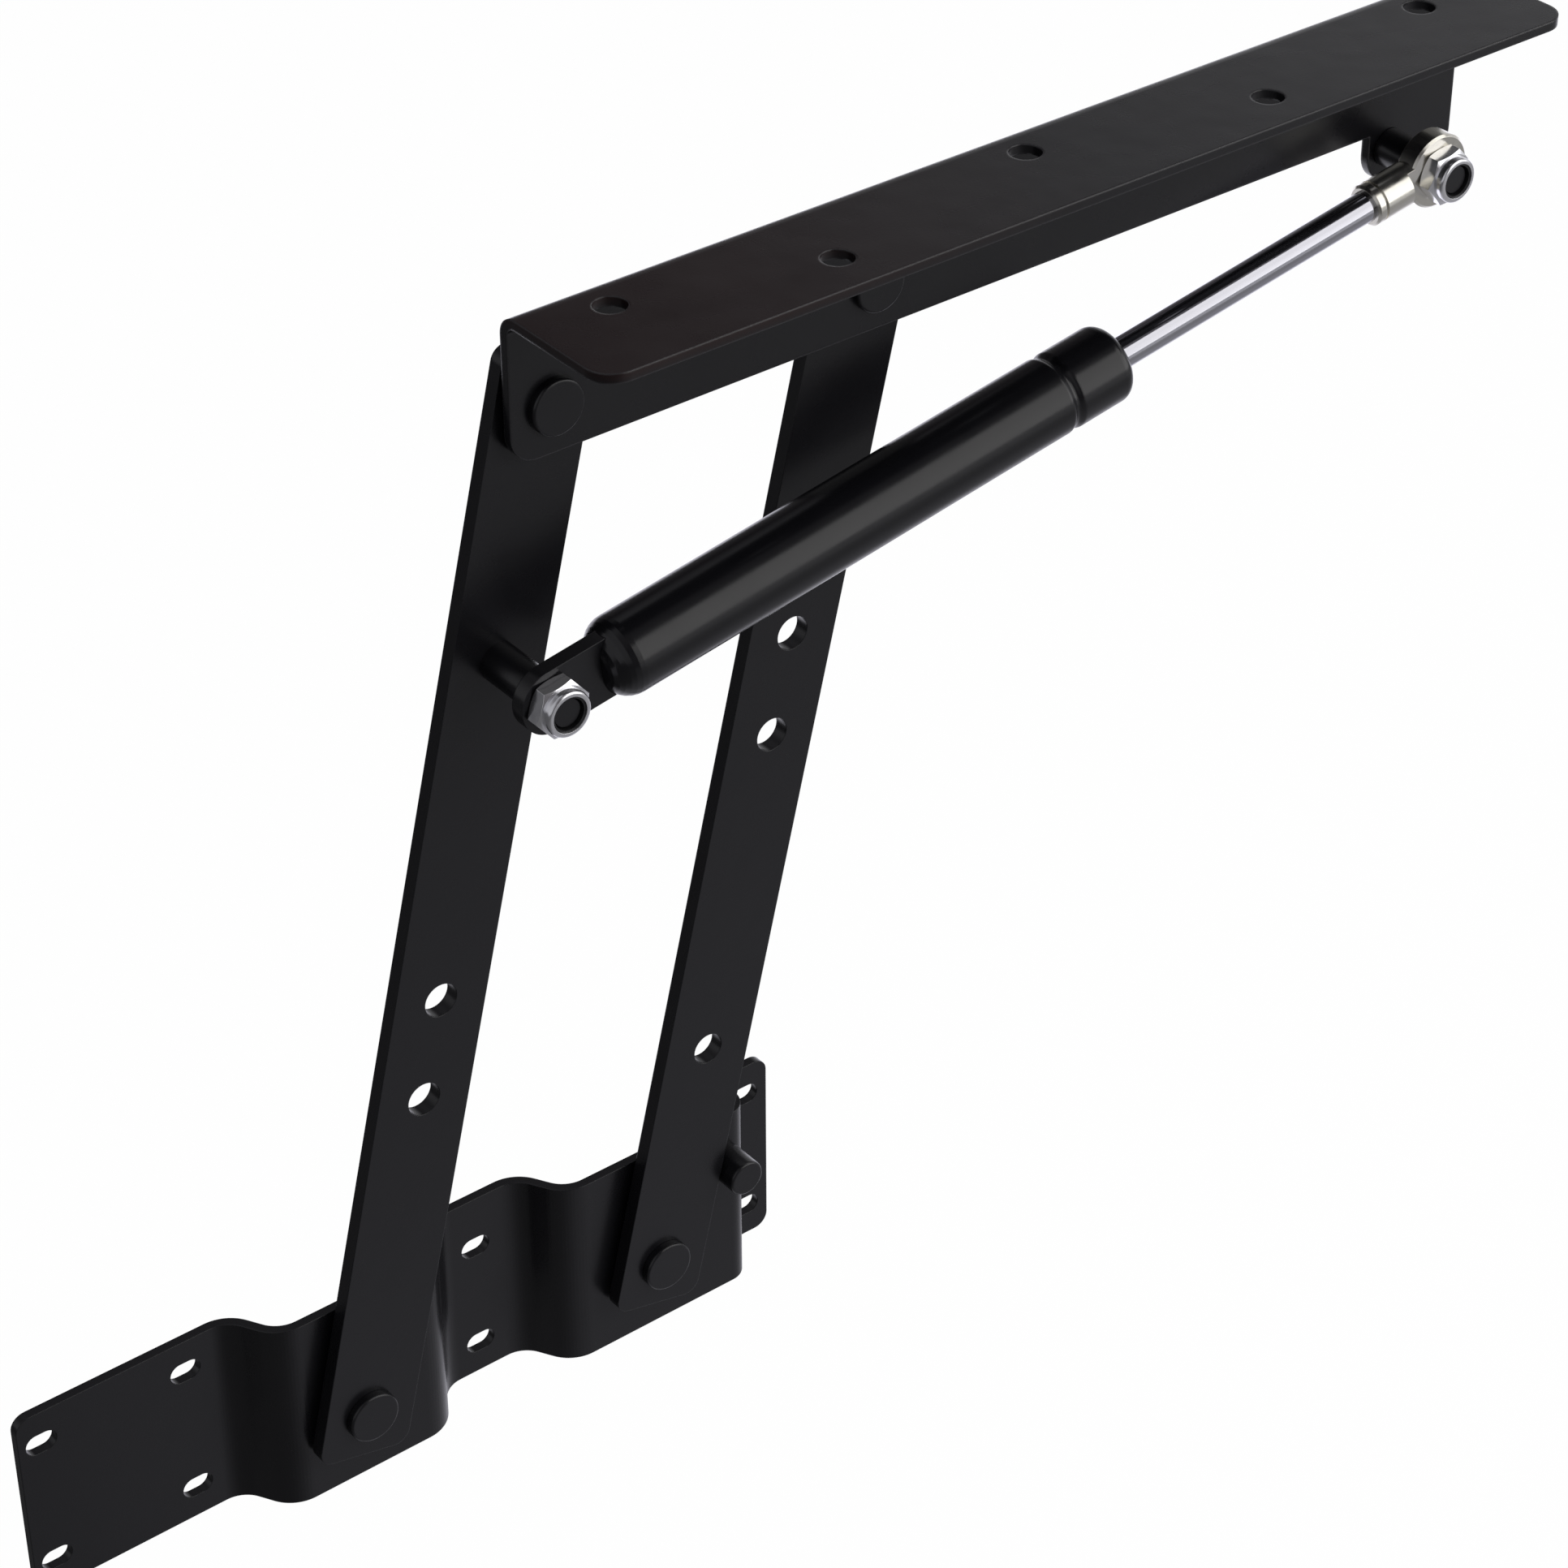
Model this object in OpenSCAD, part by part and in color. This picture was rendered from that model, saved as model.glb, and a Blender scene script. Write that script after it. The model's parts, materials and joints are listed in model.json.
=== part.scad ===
// Lift top table mechanism, shown raised.
// A bent base bracket screws to the side wall of the table.
// Two flat arms of equal length carry the top rail and keep it level as it folds down to the left.
// A gas spring pushes between the front arm and the far end of the rail.
// X runs along the rail, the wall lies at Y = 0 behind the bracket, and Z is up.
// The origin is the middle of the four front screw slots, on the wall side of the bracket.

/* [Sheet and arms] */
// Thickness of the bent sheet of the bracket and the rail
sheet_t = 2.5; // [2:0.1:3]
// Thickness of the two flat arms
arm_t = 4; // [3:0.5:5]
// Width of the two flat arms
arm_w = 26.5; // [22:0.5:28]
// Distance between the two pivots of an arm
arm_reach = 274; // [250:1:290]
// Length of an arm beyond each pivot
arm_tail = 12.5; // [9:0.5:14]
// Corner radius of the arms
arm_corner_r = 4; // [2:0.5:6]
// Lean of the raised arms past upright
arm_lean = 13.5; // [8:0.5:18]
// Distance between the front and the rear pivot
pivot_spacing = 91; // [84:1:100]
// Distance from an arm's foot pivot to its nearer spare hole
spare_near = 92; // [70:1:100]
// Distance from an arm's foot pivot to its farther spare hole
spare_far = 119.5; // [110:0.5:140]
// Diameter of the spare holes
spare_d = 9; // [8:0.5:11]
// Distance from an arm's foot pivot to its stud hole
stud_reach = 209; // [190:1:220]

/* [Base bracket] */
// Height of the bracket
base_h = 57; // [50:1:64]
// Length of the front flat, from its end to the first step
front_flat = 53.8; // [52:0.1:70]
// Depth of the two steps toward the arms
step_depth = 13; // [11:0.5:16]
// Slope of the gentle steps
step_angle = 60; // [50:1:75]
// Inner bend radius of the gentle steps
step_r = 8; // [6:0.5:9]
// Slope of the last step, back to the rear flat
end_step_angle = 80; // [60:1:85]
// Inner bend radius of the last step
end_step_r = 3.4; // [3:0.1:5]
// Length of the front platform
front_platform = 34.5; // [28:0.5:36]
// Distance from the front platform's near edge to its pivot
front_inset = 14.3; // [12:0.1:20]
// Length of the rear platform
rear_platform = 46; // [42:0.5:54]
// Distance from the rear platform's near edge to its pivot
rear_inset = 19.5; // [16:0.1:20]
// Length of the rear flat
rear_flat = 11.2; // [10:0.2:20]
// Height of the foot pivots above the lower edge
pivot_rise = 24; // [20:0.5:28]
// Corner radius at both ends of the bracket
base_corner_r = 4; // [2:0.5:6]
// Length of a screw slot
slot_l = 8.4; // [7:0.1:10]
// Width of a screw slot
slot_w = 5.8; // [4.5:0.1:7]
// Distance between the two columns of front slots
slot_pitch_x = 40; // [30:1:42]
// Distance between the upper and the lower row of slots
slot_pitch_z = 38; // [32:1:42]
// Distance from the front end to the first column of slots
slot_inset = 6.3; // [6:0.1:10]
// Distance between the two slots of the middle flat
middle_pitch_z = 32; // [26:1:34]
// Distance of the middle slots from the middle of their flat, toward the front end
middle_shift = 0.6; // [0:0.2:1.6]
// Distance from the rear end to the rear slots
rear_slot_inset = 7.2; // [6:0.2:9]

/* [Pivots and stop] */
// Diameter of the pivot pins
pin_d = 10; // [8:0.5:11]
// Diameter of the rivet heads
head_d = 14; // [13:0.5:17]
// Thickness of the rivet heads
head_t = 2.2; // [1.8:0.2:3]
// Diameter of the closing heads behind
tail_d = 13.5; // [12.5:0.5:15]
// Thickness of the closing heads
tail_t = 1.2; // [0.8:0.1:1.3]
// Diameter of the pivot washers
washer_d = 18; // [16:0.5:20]
// Thickness of the pivot washers
washer_t = 1.4; // [1:0.1:2]
// Diameter of the stop pin
stop_d = 10; // [7:0.5:11]
// Length of the stop pin in front of its platform
stop_l = 10; // [7:0.5:12]
// Distance of the stop pin from the rear foot pivot, along the arm
stop_reach = 23.8; // [18:0.2:28]
// Diameter of the stop pin's stem in the sheet
stop_stem_d = 5.5; // [4:0.5:6.5]
// Depth of the countersink that the stem is spread into
stop_sink = 0.7; // [0.4:0.1:1]

/* [Top rail] */
// Height of the rail's web
rail_h = 38; // [34:1:42]
// Width of the rail's flange, web included
flange_w = 38.5; // [34:0.5:44]
// Inner bend radius of the rail
rail_bend_r = 3; // [2:0.5:4]
// Distance from the rail's front end to the front pivot
rail_inset = 11.8; // [9:0.1:14]
// Height of the rail's lower edge below the top pivots
rail_drop = 12; // [10:0.5:14]
// Corner radius of the flange and of the web's lower front corner
rail_corner_r = 7; // [4:0.5:9]
// Length of the rail beyond the upper stud
rail_end = 22; // [20:0.1:30]
// Width of the stud tab at the far end
tab_w = 28.8; // [27:0.1:40]
// Depth of the stud tab below the web
tab_drop = 14; // [13:0.5:18]
// Corner radius of the stud tab
tab_corner_r = 8; // [4:0.5:10]
// Diameter of the rail's screw holes
rail_hole_d = 8; // [5:0.5:9]
// Distance from the web's back to the rear row of holes
rear_row_y = 12.5; // [10:0.5:14]
// Distance from the web's back to the front row of holes
front_row_y = 26; // [22:0.5:28]
// Distance from the front end to the first hole of the rear row
rear_row_first = 20.5; // [15:0.5:30]
// Distance from the front end to the middle hole of the rear row
rear_row_middle = 138.5; // [125:0.5:150]
// Distance from the front end to the last hole of the rear row
rear_row_last = 265.5; // [250:0.5:270]
// Distance from the front end to the first hole of the front row
front_row_first = 72.5; // [60:0.5:90]
// Distance from the front end to the last hole of the front row
front_row_last = 202; // [190:0.5:220]

/* [Gas spring] */
// Outer diameter of the tube
tube_d = 20; // [18:0.5:21]
// Wall of the tube
tube_wall = 1.5; // [1:0.1:2]
// Length of the tube
tube_l = 155.5; // [150:0.5:165]
// Distance from the lower eye's middle to the tube
blade_l = 14; // [12:0.5:18]
// Corner radius of the tube's closed end
dome_r = 7; // [4:0.5:8]
// Radius of the tube's rolled open end
lip_r = 3.5; // [2.5:0.1:4]
// Distance from the open end to the crimped groove
groove_inset = 18.5; // [16:0.5:22]
// Depth of the crimped groove
groove_depth = 0.7; // [0.3:0.1:0.9]
// Width of the lower eye's flat blade
blade_w = 16.5; // [14:0.5:18]
// Thickness of the lower eye's flat blade
blade_t = 4; // [3:0.5:5]
// Diameter of the rod
rod_d = 8; // [6:0.5:9]
// Diameter of the rod end's sleeve
sleeve_d = 11; // [10:0.5:12]
// Length of the rod end's sleeve, to the middle of its eye
sleeve_l = 22.7; // [20:0.1:28]
// Diameter of the rod end's eye
eye_d = 19.5; // [16:0.5:20]
// Thickness of the rod end's eye
eye_t = 6; // [5:0.5:7]
// Length of the piston
piston_l = 8; // [6:0.5:10]
// Length of the rod guide
guide_l = 24; // [22:0.5:28]
// Length of the rod seal
seal_l = 5; // [4:0.5:6]
// Thickness of the ring behind the seal
backing_t = 1.5; // [1:0.1:2]

/* [Studs and nuts] */
// Distance from the rail's front pivot to the upper stud
upper_stud_x = 257.5; // [254:0.5:262]
// Depth of the upper stud below the top pivots
upper_stud_drop = 16.6; // [14:0.1:18]
// Distance from the front arm's face to the middle of the gas spring
spring_offset = 19; // [17:0.5:22]
// Diameter of the studs' threaded ends
stud_d = 8; // [6:0.5:9]
// Diameter of the studs' plain shoulders
shoulder_d = 10; // [9.5:0.5:12]
// Diameter of the studs' necks in the arm and the tab
neck_d = 8.5; // [7:0.5:9]
// Width of a lock nut across its flats
nut_w = 13; // [12.5:0.5:15]
// Height of a lock nut
nut_h = 6.8; // [6.6:0.1:9]
// Height of a lock nut's hexagon
hex_h = 4.4; // [4:0.1:5]
// Outer diameter of a lock nut's collar
collar_d = 11.8; // [11:0.1:12.4]
// Opening of a lock nut's collar
collar_open_d = 9.2; // [8.4:0.1:9.4]
// Wall of a lock nut's collar
collar_wall = 0.8; // [0.6:0.1:1]

/* [Clearances] */
// Radial clearance of what turns or slides on a pin or rod
run_gap = 0.06; // [0.03:0.01:0.1]
// Side play between an arm, or an eye, and what holds it
side_play = 0.1; // [0.05:0.05:0.2]
// Radial clearance of what is pressed or screwed in its seat
seat_gap = 0.02; // [0.01:0.01:0.04]
// Gap between the rear arm and the stop pin
stop_gap = 0.6; // [0.3:0.1:1]
// Gap between the rail's tab and the stud shoulder that rides with the rod
open_gap = 0.3; // [0.3:0.1:0.5]

/* [Hidden] */
$fn = 72;
// How far a cutting tool reaches past what it cuts
cut = 1;
black = "#26262a";
zinc = "#c9ccd1";

// Stations along Y, from the wall at zero toward the viewer
platform_y = -(sheet_t + step_depth);
arm_back_y = platform_y - washer_t - side_play;
arm_face_y = arm_back_y - arm_t;
web_back_y = arm_face_y - side_play - washer_t;
web_face_y = web_back_y - sheet_t;
spring_y = arm_face_y - spring_offset;

// The bracket's steps, as lengths along X
step_run = step_length(step_angle, step_r);
end_step_run = step_length(end_step_angle, end_step_r);
base_x = -(slot_inset + slot_pitch_x / 2);
front_platform_x = base_x + front_flat + step_run;
front_pivot_x = front_platform_x + front_inset;
rear_pivot_x = front_pivot_x + pivot_spacing;
rear_platform_x = rear_pivot_x - rear_inset;
middle_x = front_platform_x + front_platform + step_run;
middle_flat = rear_platform_x - step_run - middle_x;
rear_flat_x = rear_platform_x + rear_platform + end_step_run;
base_end_x = rear_flat_x + rear_flat;
pivot_z = pivot_rise - base_h / 2;

// The raised rail and its stud
arm_shift = arm_reach * sin(arm_lean);
top_z = pivot_z + arm_reach * cos(arm_lean);
top_front_x = front_pivot_x + arm_shift;
rail_x = top_front_x - rail_inset;
rail_l = rail_inset + upper_stud_x + rail_end;
rail_low_z = top_z - rail_drop;
rail_top_z = rail_low_z + rail_h;
upper_x = top_front_x + upper_stud_x;
upper_z = top_z - upper_stud_drop;
lower_x = front_pivot_x + stud_reach * sin(arm_lean);
lower_z = pivot_z + stud_reach * cos(arm_lean);

// The gas spring along its own axis, from the lower stud
spring_l = norm([upper_x - lower_x, upper_z - lower_z]);
spring_tilt = atan2(upper_z - lower_z, upper_x - lower_x);
tube_r = tube_d / 2;
bore_r = tube_r - tube_wall;
tube_end = blade_l + tube_l;
guide_end = tube_end - tube_wall;
guide_x = guide_end - guide_l;
seal_x = guide_x - seal_l;
backing_x = seal_x - backing_t;
piston_gap = 3;
piston_x = backing_x - piston_gap - piston_l;
piston_nut_l = 4;
groove_x = tube_end - groove_inset;
groove_half = 2;
rod_end_x = spring_l - sleeve_l;
rod_seat = 12;
nose_l = 1;
stem_d = 6;

// Length along X of a step with two equal bends and a straight slope between them
function step_length(angle, r) =
    2 * (r + sheet_t / 2) * sin(angle) + slope_length(angle, r) * cos(angle);
function slope_length(angle, r) = (step_depth - 2 * (r + sheet_t / 2) * (1 - cos(angle))) / sin(angle);

// Points of an arc about a centre, from one angle to another
function arc(centre, r, from, to, steps = 8) =
    [for (i = [0:steps]) let (a = from + (to - from) * i / steps) centre + r * [cos(a), sin(a)]];

// Points of the crimped groove on a wall of radius r, running up the axis
function groove(r, steps = 10) =
    [for (i = [0:steps]) [r - groove_depth * (1 - cos(360 * i / steps)) / 2, groove_x + groove_half * (2 * i / steps - 1)]];

function backward(points) = [for (i = [len(points) - 1:-1:0]) points[i]];

// Stands its children in the plane of the arms, so their own Z points to the viewer
module facing(x, y, z) {
    translate([x, y, z]) rotate([90, 0, 0]) children();
}

// Points of a bent sheet's front and back, laid out one flat or bend after the other
function front_normal(heading) = [sin(heading), -cos(heading)];
function sheet_pair(p, heading) = [p, p - sheet_t * front_normal(heading)];
function sheet_pairs(moves, i = 0, p = [0, 0], heading = 0) =
    i == len(moves) ? []
    : len(moves[i]) == 1
    ? let (q = p + moves[i][0] * [cos(heading), sin(heading)])
        concat([sheet_pair(q, heading)], sheet_pairs(moves, i + 1, q, heading))
    : let (turn = moves[i][0], k = turn < 0 ? -moves[i][1] : sheet_t + moves[i][1])
        let (centre = p - k * front_normal(heading), end = heading + turn)
        concat([for (j = [1:bend_steps]) let (h = heading + turn * j / bend_steps)
            sheet_pair(centre + k * front_normal(h), h)],
            sheet_pairs(moves, i + 1, centre + k * front_normal(end), end));

module bent_sheet(moves) {
    pairs = concat([sheet_pair([0, 0], 0)], sheet_pairs(moves));
    linear_extrude(base_h) polygon(concat([for (pair = pairs) pair[0]], backward([for (pair = pairs) pair[1]])));
}
bend_steps = 12;

function step_out(angle, r) = [[-angle, r], [slope_length(angle, r)], [angle, r]];
function step_back(angle, r) = [[angle, r], [slope_length(angle, r)], [-angle, r]];

// A flat outline with one rounded corner after another, each corner with its own radius
module rounded_outline(w, h, lower_left, lower_right, upper_right, upper_left) {
    radii = [lower_left, lower_right, upper_right, upper_left];
    corners = [[0, 0], [w, 0], [w, h], [0, h]];
    inward = [[1, 1], [-1, 1], [-1, -1], [1, -1]];
    difference() {
        square([w, h]);
        for (i = [0:3]) if (radii[i] > 0) {
            translate(corners[i] + inward[i] * radii[i] / 2 - [radii[i], radii[i]] / 2) difference() {
                square(radii[i]);
                translate([radii[i] / 2, radii[i] / 2] + inward[i] * radii[i] / 2) circle(r = radii[i]);
            }
        }
    }
}

// A horizontal slot through the bracket, centred at x and z
module screw_slot(x, z) {
    facing(x, cut, z) {
        for (side = [-1, 1]) translate([side * (slot_l - slot_w) / 2, 0, 0]) cylinder(d = slot_w, h = base_y_depth);
        translate([-(slot_l - slot_w) / 2, -slot_w / 2, 0]) cube([slot_l - slot_w, slot_w, base_y_depth]);
    }
}
base_y_depth = sheet_t + step_depth + 2 * cut;

module base_bracket() {
    moves = concat([[front_flat]], step_out(step_angle, step_r), [[front_platform]], step_back(step_angle, step_r),
        [[middle_flat]], step_out(step_angle, step_r), [[rear_platform]],
        step_back(end_step_angle, end_step_r), [[rear_flat]]);
    row_z = slot_pitch_z / 2;
    color(black) difference() {
        intersection() {
            translate([base_x, -sheet_t, -base_h / 2]) bent_sheet(moves);
            facing(base_x, cut, -base_h / 2) linear_extrude(base_y_depth)
                rounded_outline(base_end_x - base_x, base_h, base_corner_r, base_corner_r, base_corner_r, base_corner_r);
        }
        for (x = [-1, 1] * slot_pitch_x / 2, z = [-1, 1] * row_z) screw_slot(x, z);
        for (z = [-row_z, middle_pitch_z - row_z]) screw_slot(middle_x + middle_flat / 2 - middle_shift, z);
        for (z = [-1, 1] * row_z) screw_slot(base_end_x - rear_slot_inset, z);
        for (x = [front_pivot_x, rear_pivot_x])
            facing(x, platform_y + sheet_t + cut, pivot_z) cylinder(d = pin_d + 2 * seat_gap, h = sheet_t + 2 * cut);
        stop_hole();
    }
}

// The stop pin's place beside the leaning rear arm, at depth y
module stop_place(y) {
    facing(rear_pivot_x, y, pivot_z) rotate([0, 0, -arm_lean])
        translate([arm_w / 2 + stop_gap + stop_d / 2, stop_reach, 0]) children();
}

// The edge of the stop pin's stem, spread flush into a countersink at the back of the sheet
function stem_edge(gap) = let (r = stop_stem_d / 2 + gap) [[r, stop_sink - sheet_t], [r + stop_sink, -sheet_t]];

module stop_hole() {
    r = stop_stem_d / 2 + seat_gap;
    stop_place(platform_y) rotate_extrude() polygon(concat([[0, cut], [r, cut]], stem_edge(seat_gap),
        [[r + stop_sink, -sheet_t - cut], [0, -sheet_t - cut]]));
}

module stop_pin() {
    edge_r = 0.8;
    color(black) stop_place(platform_y) rotate_extrude() polygon(concat(
        [[0, -sheet_t]], backward(stem_edge(0)), [[stop_stem_d / 2, 0], [stop_d / 2, 0]],
        arc([stop_d / 2 - edge_r, stop_l - edge_r], edge_r, 0, 90, 4), [[0, stop_l]]));
}

// A pivot rivet: a closing head at the back, a pin through the stack and a rounded head in front
module pivot_rivet(x, z, back_y, front_y) {
    edge_r = head_t / 3;
    stack = back_y - front_y;
    color(black) facing(x, back_y, z) rotate_extrude() polygon(concat(
        [[0, -tail_t], [tail_d / 2 - tail_t / 2, -tail_t], [tail_d / 2, -tail_t / 2], [tail_d / 2, 0],
        [pin_d / 2, 0], [pin_d / 2, stack], [head_d / 2, stack]],
        arc([head_d / 2 - edge_r, stack + head_t - edge_r], edge_r, 0, 90, 5), [[0, stack + head_t]]));
}

// A pivot washer with its back at y
module pivot_washer(x, y, z) {
    color(black) facing(x, y, z) difference() {
        cylinder(d = washer_d, h = washer_t);
        translate([0, 0, -cut]) cylinder(d = pin_d + 2 * seat_gap, h = washer_t + 2 * cut);
    }
}

module base_front_rivet() pivot_rivet(front_pivot_x, pivot_z, platform_y + sheet_t, arm_face_y - side_play);
module base_rear_rivet() pivot_rivet(rear_pivot_x, pivot_z, platform_y + sheet_t, arm_face_y - side_play);
module base_front_washer() pivot_washer(front_pivot_x, platform_y, pivot_z);
module base_rear_washer() pivot_washer(rear_pivot_x, platform_y, pivot_z);

// A flat arm that leans from its foot pivot at x, with holes measured from the foot or from the top
module flat_arm(x, from_top) {
    end = from_top ? arm_reach : 0;
    sign = from_top ? -1 : 1;
    color(black) facing(x, arm_back_y, pivot_z) rotate([0, 0, -arm_lean]) difference() {
        linear_extrude(arm_t) translate([-arm_w / 2, -arm_tail])
            rounded_outline(arm_w, arm_reach + 2 * arm_tail, arm_corner_r, arm_corner_r, arm_corner_r, arm_corner_r);
        for (s = [0, arm_reach]) translate([0, s, -cut]) cylinder(d = pin_d + 2 * run_gap, h = arm_t + 2 * cut);
        for (s = [spare_near, spare_far]) translate([0, end + sign * s, -cut]) cylinder(d = spare_d, h = arm_t + 2 * cut);
        translate([0, end + sign * stud_reach, -cut]) cylinder(d = neck_d + 2 * seat_gap, h = arm_t + 2 * cut);
    }
}

module front_arm() flat_arm(front_pivot_x, false);
module rear_arm() flat_arm(rear_pivot_x, true);

module rail_hole(s, y) {
    translate([rail_x + s, web_back_y - y, rail_top_z - sheet_t - cut]) cylinder(d = rail_hole_d, h = sheet_t + 2 * cut);
}

module top_rail() {
    outer_r = rail_bend_r + sheet_t;
    web_top = rail_h - outer_r;
    color(black) difference() {
        union() {
            // The web, with the stud tab at its far end
            facing(rail_x, web_back_y, rail_low_z) linear_extrude(sheet_t) {
                rounded_outline(rail_l, web_top, rail_corner_r, 0, 0, 0);
                translate([rail_l - tab_w, -tab_drop])
                    rounded_outline(tab_w, tab_drop + tab_corner_r, tab_corner_r, tab_corner_r, 0, 0);
            }
            // The bend along the top
            translate([rail_x, web_back_y - outer_r, rail_top_z - outer_r]) rotate([90, 0, 90])
                linear_extrude(rail_l) intersection() {
                    difference() {
                        circle(r = outer_r);
                        circle(r = rail_bend_r);
                    }
                    square(outer_r);
                }
            // The flange, toward the viewer
            translate([rail_x, web_back_y - flange_w, rail_top_z - sheet_t]) linear_extrude(sheet_t)
                rounded_outline(rail_l, flange_w - outer_r, rail_corner_r, rail_corner_r, 0, 0);
        }
        for (s = [rear_row_first, rear_row_middle, rear_row_last]) rail_hole(s, rear_row_y);
        for (s = [front_row_first, front_row_last]) rail_hole(s, front_row_y);
        for (x = [top_front_x, top_front_x + pivot_spacing])
            facing(x, web_back_y + cut, top_z) cylinder(d = pin_d + 2 * seat_gap, h = sheet_t + 2 * cut);
        facing(upper_x, web_back_y + cut, upper_z) cylinder(d = neck_d + 2 * seat_gap, h = sheet_t + 2 * cut);
    }
}

module top_front_rivet() pivot_rivet(top_front_x, top_z, arm_back_y + side_play, web_face_y);
module top_rear_rivet() pivot_rivet(top_front_x + pivot_spacing, top_z, arm_back_y + side_play, web_face_y);
module top_front_washer() pivot_washer(top_front_x, arm_face_y - side_play, top_z);
module top_rear_washer() pivot_washer(top_front_x + pivot_spacing, arm_face_y - side_play, top_z);

// A stud's neck and closing head, behind a plate whose front lies at z = 0
module stud_tail(plate_t) {
    translate([0, 0, -plate_t]) cylinder(d = neck_d, h = plate_t);
    translate([0, 0, -plate_t - tail_t]) cylinder(d1 = neck_d, d2 = neck_d + 2 * tail_t, h = tail_t);
}

// A stud's plain shoulder, then its threaded end up to just under the nut's opening
module stud_front(shoulder_l, eye_thickness) {
    thread_l = eye_thickness + 2 * side_play + nut_h - collar_wall - 0.4;
    rotate_extrude() polygon([[0, 0], [shoulder_d / 2, 0], [shoulder_d / 2, shoulder_l - 0.6],
        [shoulder_d / 2 - 0.6, shoulder_l], [stud_d / 2, shoulder_l], [stud_d / 2, shoulder_l + thread_l - 0.5],
        [stud_d / 2 - 0.5, shoulder_l + thread_l], [0, shoulder_l + thread_l]]);
}

// A lock nut standing on z = 0: a chamfered hexagon under a rolled collar
module lock_nut() {
    corner_r = nut_w / 2 / cos(30);
    chamfer = corner_r - nut_w / 2 + 0.2;
    slope = tan(30);
    seat_r = collar_d / 2 - collar_wall;
    color(zinc) difference() {
        union() {
            intersection() {
                rotate([0, 0, 30]) cylinder(r = corner_r, h = hex_h, $fn = 6);
                rotate_extrude() polygon([[0, 0], [corner_r - chamfer, 0], [corner_r, chamfer * slope],
                    [corner_r, hex_h - chamfer * slope], [corner_r - chamfer, hex_h], [0, hex_h]]);
            }
            rotate_extrude() polygon(concat([[0, hex_h / 2], [collar_d / 2, hex_h / 2]],
                arc([collar_d / 2 - collar_wall, nut_h - collar_wall], collar_wall, 0, 90, 5), [[0, nut_h]]));
        }
        translate([0, 0, -cut]) cylinder(r = stud_d / 2 + seat_gap, h = nut_h + 2 * cut);
        translate([0, 0, hex_h - 0.2]) cylinder(r = seat_r, h = nut_h - hex_h + 0.2 - collar_wall / 2);
        translate([0, 0, hex_h]) cylinder(d = collar_open_d, h = nut_h);
    }
}

// The nylon ring inside a lock nut's collar
module nut_insert() {
    seat_r = collar_d / 2 - collar_wall;
    ring_h = nut_h - hex_h + 0.2 - collar_wall / 2;
    color("#141416") translate([0, 0, hex_h - 0.2]) difference() {
        cylinder(r = seat_r - seat_gap, h = ring_h);
        translate([0, 0, -cut]) cylinder(r = stud_d / 2 + seat_gap, h = ring_h + 2 * cut);
    }
}

lower_shoulder_l = spring_offset - blade_t / 2 - side_play;
upper_shoulder_l = web_face_y - spring_y - eye_t / 2 - side_play - open_gap;
lower_nut_y = spring_y - blade_t / 2 - side_play;
upper_nut_y = spring_y - eye_t / 2 - side_play;

// Turns the nuts on their studs
nut_turn = -20;

module lower_stud() {
    color(black) facing(lower_x, arm_face_y, lower_z) {
        stud_tail(arm_t);
        stud_front(lower_shoulder_l, blade_t);
    }
}
module lower_lock_nut() facing(lower_x, lower_nut_y, lower_z) rotate([0, 0, nut_turn]) lock_nut();
module lower_nut_insert() facing(lower_x, lower_nut_y, lower_z) nut_insert();

module upper_stud_tail() {
    color(black) facing(upper_x, web_face_y, upper_z) stud_tail(sheet_t);
}
module upper_stud() {
    color(black) facing(upper_x, web_face_y - open_gap, upper_z) stud_front(upper_shoulder_l, eye_t);
}
module upper_lock_nut() facing(upper_x, upper_nut_y, upper_z) rotate([0, 0, nut_turn]) lock_nut();
module upper_nut_insert() facing(upper_x, upper_nut_y, upper_z) nut_insert();

// Places what lies on the gas spring's axis: its own X runs from the lower stud to the upper
module on_spring() {
    translate([lower_x, spring_y, lower_z]) rotate([0, -spring_tilt, 0]) children();
}
// Turns a profile of radius and height about the gas spring's axis
module turned(points) {
    on_spring() rotate([0, 90, 0]) rotate_extrude() polygon(points);
}

// The tube's outer profile, from the closed end to the rolled end
function tube_outside() = concat([[0, blade_l]],
    arc([tube_r - dome_r, blade_l + dome_r], dome_r, -90, 0),
    groove(tube_r),
    arc([tube_r - lip_r, tube_end - lip_r], lip_r, 0, 90));

module gas_tube() {
    lip_open = sleeve_d / 2;
    inside = concat(
        [[lip_open, tube_end], [lip_open, guide_end]],
        backward(arc([tube_r - lip_r, tube_end - lip_r], lip_r - tube_wall, 0, 90)),
        backward(groove(bore_r)),
        backward(arc([tube_r - dome_r, blade_l + dome_r], dome_r - tube_wall, -90, 0)),
        [[0, blade_l + tube_wall]]);
    color(black) turned(concat(tube_outside(), inside));
}

// The flat blade with its round eye, welded to the closed end
module cylinder_eye() {
    reach = blade_l + dome_r;
    color(black) difference() {
        on_spring() rotate([90, 0, 0]) translate([0, 0, -blade_t / 2]) difference() {
            union() {
                cylinder(d = blade_w, h = blade_t);
                translate([0, -blade_w / 2, 0]) cube([reach, blade_w, blade_t]);
            }
            translate([0, 0, -cut]) cylinder(d = stud_d + 2 * run_gap, h = blade_t + 2 * cut);
        }
        turned(concat(tube_outside(), [[0, tube_end]]));
    }
}

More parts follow.
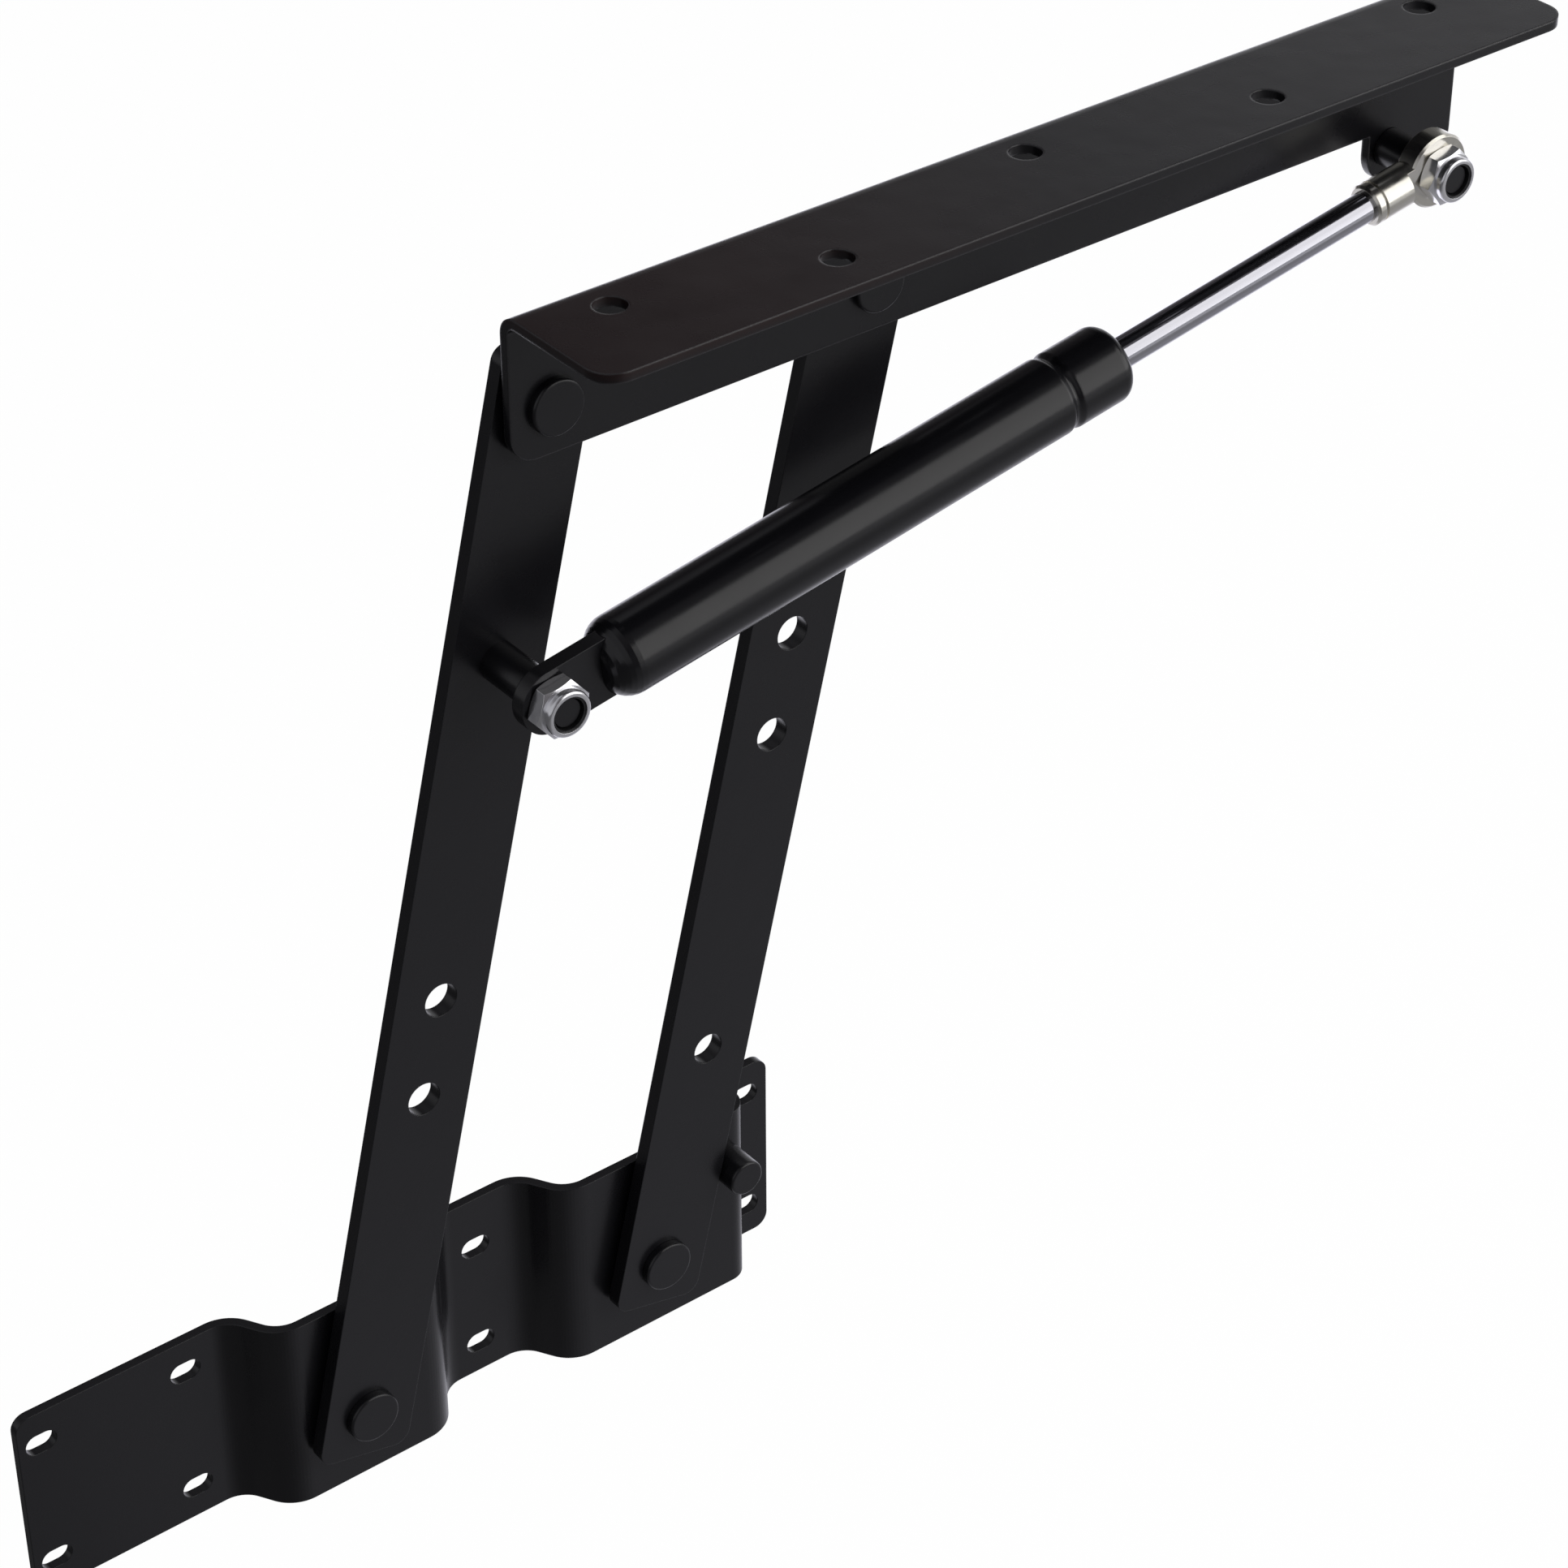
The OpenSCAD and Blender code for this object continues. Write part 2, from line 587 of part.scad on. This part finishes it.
module rod_guide() {
    bore = rod_d / 2 + run_gap;
    outer = bore_r - seat_gap;
    edge = lip_r - tube_wall + seat_gap;
    color("#8c8f94") turned(concat(
        [[bore, guide_x], [outer, guide_x]],
        groove(outer),
        [[outer, guide_end - edge], [outer - edge, guide_end], [sleeve_d / 2 - seat_gap, guide_end],
        [sleeve_d / 2 - seat_gap, guide_end + nose_l], [bore, guide_end + nose_l]]));
}

// A plain ring inside the tube, around the rod
module rod_ring(x, length) {
    turned([[rod_d / 2 + run_gap, x], [bore_r - seat_gap, x],
        [bore_r - seat_gap, x + length], [rod_d / 2 + run_gap, x + length]]);
}
module rod_seal() {
    color("#1c1c1e") rod_ring(seal_x, seal_l);
}
module seal_backing() {
    color(zinc) rod_ring(backing_x, backing_t);
}

module piston_rod() {
    tip = rod_end_x + rod_seat;
    color("#dfe1e6") turned([[0, piston_x - piston_nut_l], [stem_d / 2, piston_x - piston_nut_l],
        [stem_d / 2, piston_x + piston_l], [rod_d / 2, piston_x + piston_l], [rod_d / 2, tip], [0, tip]]);
}

ring_l = 3;
ring_seat_r = bore_r - 1.6;

module piston() {
    outer = bore_r - 0.3;
    ring_x = piston_x + (piston_l - ring_l) / 2;
    stem = stem_d / 2 + seat_gap;
    color("#b9a46a") turned([[stem, piston_x], [outer, piston_x], [outer, ring_x], [ring_seat_r, ring_x],
        [ring_seat_r, ring_x + ring_l], [outer, ring_x + ring_l], [outer, piston_x + piston_l], [stem, piston_x + piston_l]]);
}

module piston_ring() {
    ring_x = piston_x + (piston_l - ring_l) / 2;
    color("#1c1c1e") turned([[ring_seat_r + seat_gap, ring_x + seat_gap], [bore_r - run_gap, ring_x + seat_gap],
        [bore_r - run_gap, ring_x + ring_l - seat_gap], [ring_seat_r + seat_gap, ring_x + ring_l - seat_gap]]);
}

module piston_nut() {
    color(zinc) on_spring() translate([piston_x - piston_nut_l, 0, 0]) rotate([0, 90, 0]) difference() {
        cylinder(d = 11, h = piston_nut_l, $fn = 6);
        translate([0, 0, -cut]) cylinder(d = stem_d + 2 * seat_gap, h = piston_nut_l + 2 * cut);
    }
}

module rod_end_eye() {
    seat = rod_d / 2 + seat_gap;
    r = sleeve_d / 2;
    lip_l = 2.4;
    ring_w = 0.8;
    edge = 0.6;
    color("#c6c2b6") difference() {
        union() {
            turned([[0, rod_end_x], [r - edge, rod_end_x], [r, rod_end_x + edge], [r, rod_end_x + lip_l],
                [r - 0.5, rod_end_x + lip_l], [r - 0.5, rod_end_x + lip_l + ring_w], [r, rod_end_x + lip_l + ring_w],
                [r, spring_l - eye_d / 4], [0, spring_l - eye_d / 4]]);
            on_spring() translate([spring_l, eye_t / 2, 0]) rotate([90, 0, 0]) rotate_extrude() polygon([
                [0, 0], [eye_d / 2 - edge, 0], [eye_d / 2, edge], [eye_d / 2, eye_t - edge],
                [eye_d / 2 - edge, eye_t], [0, eye_t]]);
        }
        turned([[0, rod_end_x - cut], [seat, rod_end_x - cut], [seat, rod_end_x + rod_seat], [0, rod_end_x + rod_seat]]);
        // The sleeve is milled flush with the eye's two faces
        for (side = [-1, 1]) on_spring() translate([spring_l, side * (eye_t / 2 + sleeve_d / 2), 0])
            cube([eye_d + 3 * edge, sleeve_d, sleeve_d + cut], center = true);
        on_spring() translate([spring_l, eye_t / 2 + cut, 0]) rotate([90, 0, 0])
            cylinder(d = stud_d + 2 * run_gap, h = eye_t + 2 * cut);
    }
}

base_bracket();
base_front_rivet();
base_rear_rivet();
base_front_washer();
base_rear_washer();
stop_pin();
front_arm();
lower_stud();
lower_lock_nut();
lower_nut_insert();
rear_arm();
top_rail();
top_front_rivet();
top_rear_rivet();
top_front_washer();
top_rear_washer();
upper_stud_tail();
gas_tube();
cylinder_eye();
rod_guide();
rod_seal();
seal_backing();
piston_rod();
piston();
piston_ring();
piston_nut();
rod_end_eye();
upper_stud();
upper_lock_nut();
upper_nut_insert();
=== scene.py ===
"""Dresses the lift top table mechanism: coated steel, a glossy gas spring, plated nuts, camera and studio."""

import json

import bpy
from mathutils import Matrix, Vector

MM = 0.001

# The camera of the photograph: where it stands, which way it looks, and how long its lens is
CAMERA_PLACE = Vector((-0.33593, -0.69465, 0.72507))
CAMERA_RIGHT = Vector((0.786751, -0.617266, -0.002459))
CAMERA_UP = Vector((0.354384, 0.448419, 0.820568))
CAMERA_LENS = 97.37
SENSOR = 36.0
CLIP_END = 50.0

# The black coat: the colours that it wanders between, and the brownish colours of a painted reflection on the
# rail's flange
COAT_COLOURS = ((0.0102, 0.0100, 0.0122), (0.0120, 0.0118, 0.0140))
BROWN_REFLECTION_COLOURS = ((0.0190, 0.0080, 0.0080), (0.0215, 0.0090, 0.0086))

# Painted highlight on the coat's edges: lighter greys that stand in for light caught along the rounded edges,
# and how much less rough those edges are
SHEET_EDGE_HIGHLIGHT = (0.025, 0.025, 0.029)
PIN_EDGE_HIGHLIGHT = (0.012, 0.012, 0.014)
RAIL_EDGE_HIGHLIGHT = (0.080, 0.078, 0.082)
EDGE_SMOOTHER = 0.06

# Roughness of the coat, from its smoothest places to its roughest
SHEET_ROUGHNESS = (0.24, 0.31)
PIN_ROUGHNESS = (0.25, 0.32)

# Cosine between the true direction and the rounded one, where the painted edge highlight is full and where it
# ends
FULL_EDGE = 0.84
EDGE_END = 0.97

# Where the flange's painted brown reflection starts to fade along X, where it is gone, and how high the
# flange lies
BROWN_REFLECTION_FADES = 0.16
BROWN_REFLECTION_ENDS = 0.26
FLANGE_UNDERSIDE = 0.2850
FLANGE_TOP = 0.2870

# The floor: how far below the origin it lies, how far it reaches, and its colours
FLOOR_Z = -0.20
FLOOR_REACH = 6.0
FLOOR_COLOURS = ((0.33, 0.33, 0.33), (0.36, 0.36, 0.36))

# The camera's white floor: its brightness, and its share over the floor's own shading, which shows the shadow
WHITE_STRENGTH = 1.06
WHITE_SHARE = 0.93

# The floor's painted glow, seen only in reflections: bands along Y, each with its start, its end, and its
# strength at both
FLOOR_BANDS = ((-0.60, -0.25, 0.06, 0.19), (-0.08, 0.08, 0.0, 0.50), (0.20, 0.32, 0.0, 0.55))
FLOOR_BANDS_TINT = (0.97, 0.96, 1.07, 1.0)

# Where those bands start along X, and where they reach their full strength
FLOOR_BANDS_X = (-0.05, 0.12)

# The studio in reflections: backdrop low on the right, ceiling behind the object, left side, and the rest
BACKDROP = (0.66, 0.66, 0.68)
CEILING = (0.34, 0.34, 0.36)
LEFT_SIDE = (0.42, 0.42, 0.44)
DARK_REST = (0.032, 0.026, 0.030)

# The even light of the surroundings on dull surfaces
EVEN_LIGHT = (0.14, 0.14, 0.15, 1.0)
WHITE = (1.0, 1.0, 1.0, 1.0)


# Helpers for materials


def new_material(name):
    """A node material and its principled shader."""
    material = bpy.data.materials.new(name)
    material.use_nodes = True
    return material, material.node_tree.nodes["Principled BSDF"]


def add(tree, kind, **values):
    """Adds one node and sets its properties, or its inputs, by name."""
    node = tree.nodes.new(kind)
    for key, value in values.items():
        if hasattr(node, key):
            setattr(node, key, value)
        else:
            node.inputs[key.replace("_", " ")].default_value = value
    return node


def combine(tree, operation, first, second):
    """The sum, product or maximum of two nodes' outputs."""
    node = add(tree, "ShaderNodeMath", operation=operation)
    tree.links.new(first, node.inputs[0])
    tree.links.new(second, node.inputs[1])
    return node.outputs["Value"]


def noise(tree, scale, detail=3.0):
    """A noise pattern in the piece's own coordinates, scale in cycles per metre."""
    where = add(tree, "ShaderNodeTexCoord")
    texture = add(tree, "ShaderNodeTexNoise", Scale=scale, Detail=detail, Roughness=0.5)
    tree.links.new(where.outputs["Object"], texture.inputs["Vector"])
    return texture.outputs["Fac"]


def remap(tree, value, low, high, start=0.3, end=0.7):
    """Maps a value between start and end to low and high."""
    node = add(tree, "ShaderNodeMapRange")
    for name, number in (("From Min", start), ("From Max", end), ("To Min", low), ("To Max", high)):
        node.inputs[name].default_value = number
    tree.links.new(value, node.inputs["Value"])
    return node.outputs["Result"]


def along(tree, axis, start, end):
    """A number that grows from 0 to 1 between two places along one axis of the piece, in either direction."""
    where = add(tree, "ShaderNodeTexCoord")
    parts = add(tree, "ShaderNodeSeparateXYZ")
    tree.links.new(where.outputs["Object"], parts.inputs["Vector"])
    if start < end:
        return remap(tree, parts.outputs[axis], 0.0, 1.0, start, end)
    return remap(tree, parts.outputs[axis], 1.0, 0.0, end, start)


def blend_colours(tree, share, first, second):
    """Blends two colours, or the outputs of two nodes, by a pattern."""
    node = add(tree, "ShaderNodeMix", data_type="RGBA")
    tree.links.new(share, node.inputs["Factor"])
    for socket, colour in ((node.inputs[6], first), (node.inputs[7], second)):
        if isinstance(colour, tuple):
            socket.default_value = (*colour, 1.0)
        else:
            tree.links.new(colour, socket)
    return node.outputs[2]


def blend_shaders(tree, share, first, second):
    """Blends two shaders by a number."""
    node = add(tree, "ShaderNodeMixShader")
    tree.links.new(share, node.inputs["Fac"])
    tree.links.new(first, node.inputs[1])
    tree.links.new(second, node.inputs[2])
    return node.outputs["Shader"]


def mirrored(tree, path):
    """1 for what is seen in a reflection or through glass, 0 for other rays."""
    return combine(tree, "MAXIMUM", path.outputs["Is Glossy Ray"], path.outputs["Is Transmission Ray"])


def rounded_normal(tree, radius):
    """The surface's direction with its sharp edges rounded, as a coat of paint rounds them."""
    return add(tree, "ShaderNodeBevel", samples=6, Radius=radius).outputs["Normal"]


def bump(tree, height, strength, distance, under=None):
    """A bump from a pattern, distance in metres, laid over another direction if there is one."""
    node = add(tree, "ShaderNodeBump", Strength=strength, Distance=distance)
    tree.links.new(height, node.inputs["Height"])
    if under is not None:
        tree.links.new(under, node.inputs["Normal"])
    return node.outputs["Normal"]


def wire(material, shader, **sources):
    """Links node outputs to the shader's inputs by name."""
    for key, source in sources.items():
        material.node_tree.links.new(source, shader.inputs[key.replace("_", " ")])


# Materials


def edge_highlight_mask(tree, rounded):
    """Mask of the painted edge highlight: 0 on flats, 1 on a sharp edge where the rounded direction turns
    away.
    """
    shape = add(tree, "ShaderNodeNewGeometry")
    dot = add(tree, "ShaderNodeVectorMath", operation="DOT_PRODUCT")
    tree.links.new(rounded, dot.inputs[0])
    tree.links.new(shape.outputs["True Normal"], dot.inputs[1])
    return remap(tree, dot.outputs["Value"], 1.0, 0.0, FULL_EDGE, EDGE_END)


def coat_colour(tree, flange_reflection_tint):
    """The coat's near black, with a brownish painted reflection on the flange's left part if asked for."""
    colour = blend_colours(tree, noise(tree, 16.0, detail=2.0), *COAT_COLOURS)
    if not flange_reflection_tint:
        return colour
    # Painted reflection: a brownish tint on the flange top's left part stands in for a dark brown reflection
    # there
    brown_reflection = blend_colours(tree, noise(tree, 30.0), *BROWN_REFLECTION_COLOURS)
    left = along(tree, "X", BROWN_REFLECTION_ENDS, BROWN_REFLECTION_FADES)
    flange = along(tree, "Z", FLANGE_UNDERSIDE, FLANGE_TOP)
    return blend_colours(tree, combine(tree, "MULTIPLY", left, flange), colour, brown_reflection)


def black_coat(name, radius, roughness, edge_highlight_colour, flange_reflection_tint=False):
    """Semi-gloss black coat: fine orange peel, patchy gloss, and rounded edges, made smoother and painted a
    lighter grey as a painted edge highlight.
    """
    material, shader = new_material(name)
    tree = material.node_tree
    rounded = rounded_normal(tree, radius)
    edges = edge_highlight_mask(tree, rounded)
    colour = coat_colour(tree, flange_reflection_tint)
    peel = bump(tree, noise(tree, 1500.0, detail=2.0), 0.10, 0.12 * MM, rounded)
    swells = bump(tree, noise(tree, 90.0, detail=1.0), 0.10, 0.6 * MM, peel)
    smoother = remap(tree, edges, 0.0, -EDGE_SMOOTHER, 0.0, 1.0)
    # Painted highlight: the edges are drawn in a lighter grey that stands in for light caught on them
    wire(
        material,
        shader,
        Base_Color=blend_colours(tree, edges, colour, edge_highlight_colour),
        Roughness=combine(tree, "ADD", remap(tree, noise(tree, 50.0), *roughness), smoother),
        Normal=swells,
    )
    return material


def gloss_paint():
    """The gas spring's tube: smooth black paint with a faint long wave in it."""
    material, shader = new_material("gloss_black_tube")
    tree = material.node_tree
    wire(
        material,
        shader,
        Base_Color=blend_colours(tree, noise(tree, 60.0), (0.007, 0.007, 0.009), (0.010, 0.010, 0.012)),
        Roughness=remap(tree, noise(tree, 90.0), 0.20, 0.27),
        Normal=bump(tree, noise(tree, 300.0, detail=1.0), 0.05, 0.2 * MM, rounded_normal(tree, 0.3 * MM)),
    )
    return material


def plated(name, first, second, roughness, grain=500.0, metallic=1.0):
    """Bright plating or turned metal, with a fine grain."""
    material, shader = new_material(name)
    tree = material.node_tree
    shader.inputs["Metallic"].default_value = metallic
    fine_grain = noise(tree, grain * 2.0, detail=2.0)
    wire(
        material,
        shader,
        Base_Color=blend_colours(tree, noise(tree, 300.0), first, second),
        Roughness=remap(tree, noise(tree, grain), *roughness),
        Normal=bump(tree, fine_grain, 0.02, 0.02 * MM, rounded_normal(tree, 0.15 * MM)),
    )
    return material


def plain_black(name, roughness):
    """Nylon or rubber."""
    material, shader = new_material(name)
    tree = material.node_tree
    wire(
        material,
        shader,
        Base_Color=blend_colours(tree, noise(tree, 500.0), (0.010, 0.010, 0.011), (0.018, 0.018, 0.019)),
        Roughness=remap(tree, noise(tree, 700.0), *roughness),
        Normal=bump(tree, noise(tree, 1800.0), 0.1, 0.05 * MM),
    )
    return material


def dress(frame):
    """Gives every node of the CAD the material of its slot, and the rail a coat of its own with a painted
    brownish reflection and a stronger painted edge highlight.
    """
    by_slot = {
        "black_steel": black_coat("black_powder_coat", 0.40 * MM, SHEET_ROUGHNESS, SHEET_EDGE_HIGHLIGHT),
        "black_pins": black_coat("black_pin_coat", 0.06 * MM, PIN_ROUGHNESS, PIN_EDGE_HIGHLIGHT),
        "black_tube": gloss_paint(),
        "zinc": plated("bright_zinc", (0.95, 0.95, 0.97), (0.88, 0.88, 0.91), (0.16, 0.21), metallic=0.9),
        "nickel": plated("warm_nickel", (0.82, 0.80, 0.73), (0.74, 0.72, 0.65), (0.19, 0.26)),
        "chrome_rod": plated("polished_chrome", (0.52, 0.52, 0.56), (0.49, 0.49, 0.53), (0.09, 0.13)),
        "nylon": plain_black("black_nylon", (0.35, 0.50)),
        "guide_metal": plated("turned_alloy", (0.62, 0.63, 0.64), (0.55, 0.56, 0.57), (0.25, 0.35), 700.0),
        "piston_metal": plated("turned_bronze", (0.60, 0.47, 0.26), (0.52, 0.40, 0.22), (0.25, 0.35), 700.0),
        "seal_rubber": plain_black("seal_rubber", (0.60, 0.80)),
    }
    # The rail's coat carries the painted brownish reflection and the strongest painted edge highlight
    rail_coat = black_coat("black_rail_coat", 0.80 * MM, SHEET_ROUGHNESS, RAIL_EDGE_HIGHLIGHT, flange_reflection_tint=True)
    for part in frame["record"]["subparts"]:
        materials = frame["nodes"][part["node"]].data.materials
        materials.clear()
        materials.append(rail_coat if part["node"] == "top_rail" else by_slot[part["material_slot"]])


# Camera and studio


def make_camera():
    """The photograph's camera."""
    data = bpy.data.cameras.new("camera")
    data.lens = CAMERA_LENS
    data.sensor_width = SENSOR
    data.clip_end = CLIP_END
    camera = bpy.data.objects.new("camera", data)
    bpy.context.scene.collection.objects.link(camera)
    back = CAMERA_RIGHT.cross(CAMERA_UP)
    turn = Matrix((CAMERA_RIGHT, CAMERA_UP, back)).transposed()
    camera.matrix_world = Matrix.Translation(CAMERA_PLACE) @ turn.to_4x4()
    bpy.context.scene.camera = camera


def softbox(name, place, aim, size, power, colour):
    """A rectangular light that looks at a point."""
    data = bpy.data.lights.new(name, "AREA")
    data.shape = "RECTANGLE"
    data.size, data.size_y = size
    data.energy = power
    data.color = colour
    lamp = bpy.data.objects.new(name, data)
    bpy.context.scene.collection.objects.link(lamp)
    lamp.location = place
    lamp.rotation_euler = (Vector(aim) - Vector(place)).to_track_quat("-Z", "Y").to_euler()


def make_lights():
    """A wide softbox on the right before the object, and a faint low one below it."""
    middle = (0.20, -0.03, 0.15)
    softbox("key", (1.00, -1.10, 0.82), middle, size=(1.6, 1.35), power=9.6, colour=(1.0, 0.99, 0.98))
    softbox("low", (1.00, -1.10, 0.06), middle, size=(1.6, 0.44), power=0.9, colour=(0.98, 0.98, 1.0))


def floor_glow(tree):
    """How bright the floor is in reflections: brighter far from the viewer, and dark on the left."""
    total = None
    for start, end, low, high in FLOOR_BANDS:
        band = remap(tree, along(tree, "Y", start, end), low, high, 0.0, 1.0)
        total = band if total is None else combine(tree, "ADD", total, band)
    return combine(tree, "MULTIPLY", total, along(tree, "X", *FLOOR_BANDS_X))


def floor_material():
    """Pale floor that the camera sees nearly white, with the object's own soft shadow left in it, and a
    painted glow in bands that only reflections see.
    """
    material, shader = new_material("pale_floor")
    tree = material.node_tree
    path = add(tree, "ShaderNodeLightPath")
    wire(
        material,
        shader,
        Base_Color=blend_colours(tree, noise(tree, 3.0), *FLOOR_COLOURS),
        Roughness=remap(tree, noise(tree, 8.0), 0.85, 0.95),
        # Painted light: the floor glows in reflections, though it is no lamp
        Emission_Strength=combine(tree, "MULTIPLY", floor_glow(tree), mirrored(tree, path)),
    )
    shader.inputs["Emission Color"].default_value = FLOOR_BANDS_TINT
    white = add(tree, "ShaderNodeEmission", Strength=WHITE_STRENGTH)
    share = remap(tree, path.outputs["Is Camera Ray"], 0.0, WHITE_SHARE, 0.0, 1.0)
    surface = blend_shaders(tree, share, shader.outputs["BSDF"], white.outputs["Emission"])
    tree.links.new(surface, tree.nodes["Material Output"].inputs["Surface"])
    return material


def make_floor():
    """One large square below the object."""
    far = FLOOR_REACH
    mesh = bpy.data.meshes.new("floor")
    mesh.from_pydata([(-far, -far, 0), (far, -far, 0), (far, far, 0), (-far, far, 0)], [], [(0, 1, 2, 3)])
    mesh.materials.append(floor_material())
    floor = bpy.data.objects.new("floor", mesh)
    floor.location = (0.0, 0.0, FLOOR_Z)
    bpy.context.scene.collection.objects.link(floor)


def studio_colours(tree):
    """The studio's colour in each direction, as reflections see it."""
    where = add(tree, "ShaderNodeTexCoord")
    parts = add(tree, "ShaderNodeSeparateXYZ")
    tree.links.new(where.outputs["Generated"], parts.inputs["Vector"])
    toward_x, toward_y, toward_z = (parts.outputs[axis] for axis in "XYZ")
    low = remap(tree, toward_z, 1.0, 0.0, 0.34, 0.54)
    right = remap(tree, toward_x, 0.10, 1.0, 0.48, 0.68)
    high = remap(tree, toward_z, 0.0, 1.0, 0.55, 0.85)
    behind = remap(tree, toward_y, 0.3, 1.0, -0.2, 0.2)
    left = remap(tree, toward_x, 1.0, 0.0, -0.70, -0.30)
    colour = blend_colours(tree, combine(tree, "MULTIPLY", high, behind), DARK_REST, CEILING)
    colour = blend_colours(tree, left, colour, LEFT_SIDE)
    return blend_colours(tree, combine(tree, "MULTIPLY", low, right), colour, BACKDROP)


def make_world():
    """White to the camera, a graded studio in reflections, and an even light for all else."""
    world = bpy.data.worlds.new("studio")
    bpy.context.scene.world = world
    world.use_nodes = True
    tree = world.node_tree
    path = add(tree, "ShaderNodeLightPath")
    studio = tree.nodes["Background"]
    tree.links.new(studio_colours(tree), studio.inputs["Color"])
    even = add(tree, "ShaderNodeBackground", Color=EVEN_LIGHT)
    white = add(tree, "ShaderNodeBackground", Color=WHITE)
    in_mirrors = studio.outputs["Background"]
    light = blend_shaders(tree, mirrored(tree, path), even.outputs["Background"], in_mirrors)
    sky = blend_shaders(tree, path.outputs["Is Camera Ray"], light, white.outputs["Background"])
    tree.links.new(sky, tree.nodes["World Output"].inputs["Surface"])


with open("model.json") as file:
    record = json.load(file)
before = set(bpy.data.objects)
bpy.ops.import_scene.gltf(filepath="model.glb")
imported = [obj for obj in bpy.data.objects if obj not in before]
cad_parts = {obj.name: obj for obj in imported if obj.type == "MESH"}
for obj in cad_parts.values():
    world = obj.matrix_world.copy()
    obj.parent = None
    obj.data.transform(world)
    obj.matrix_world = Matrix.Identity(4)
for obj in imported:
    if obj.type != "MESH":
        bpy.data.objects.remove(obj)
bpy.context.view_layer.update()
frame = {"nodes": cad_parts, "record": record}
make_camera()
dress(frame)
make_world()
make_lights()
make_floor()
bpy.context.scene.view_settings.view_transform = "Standard"
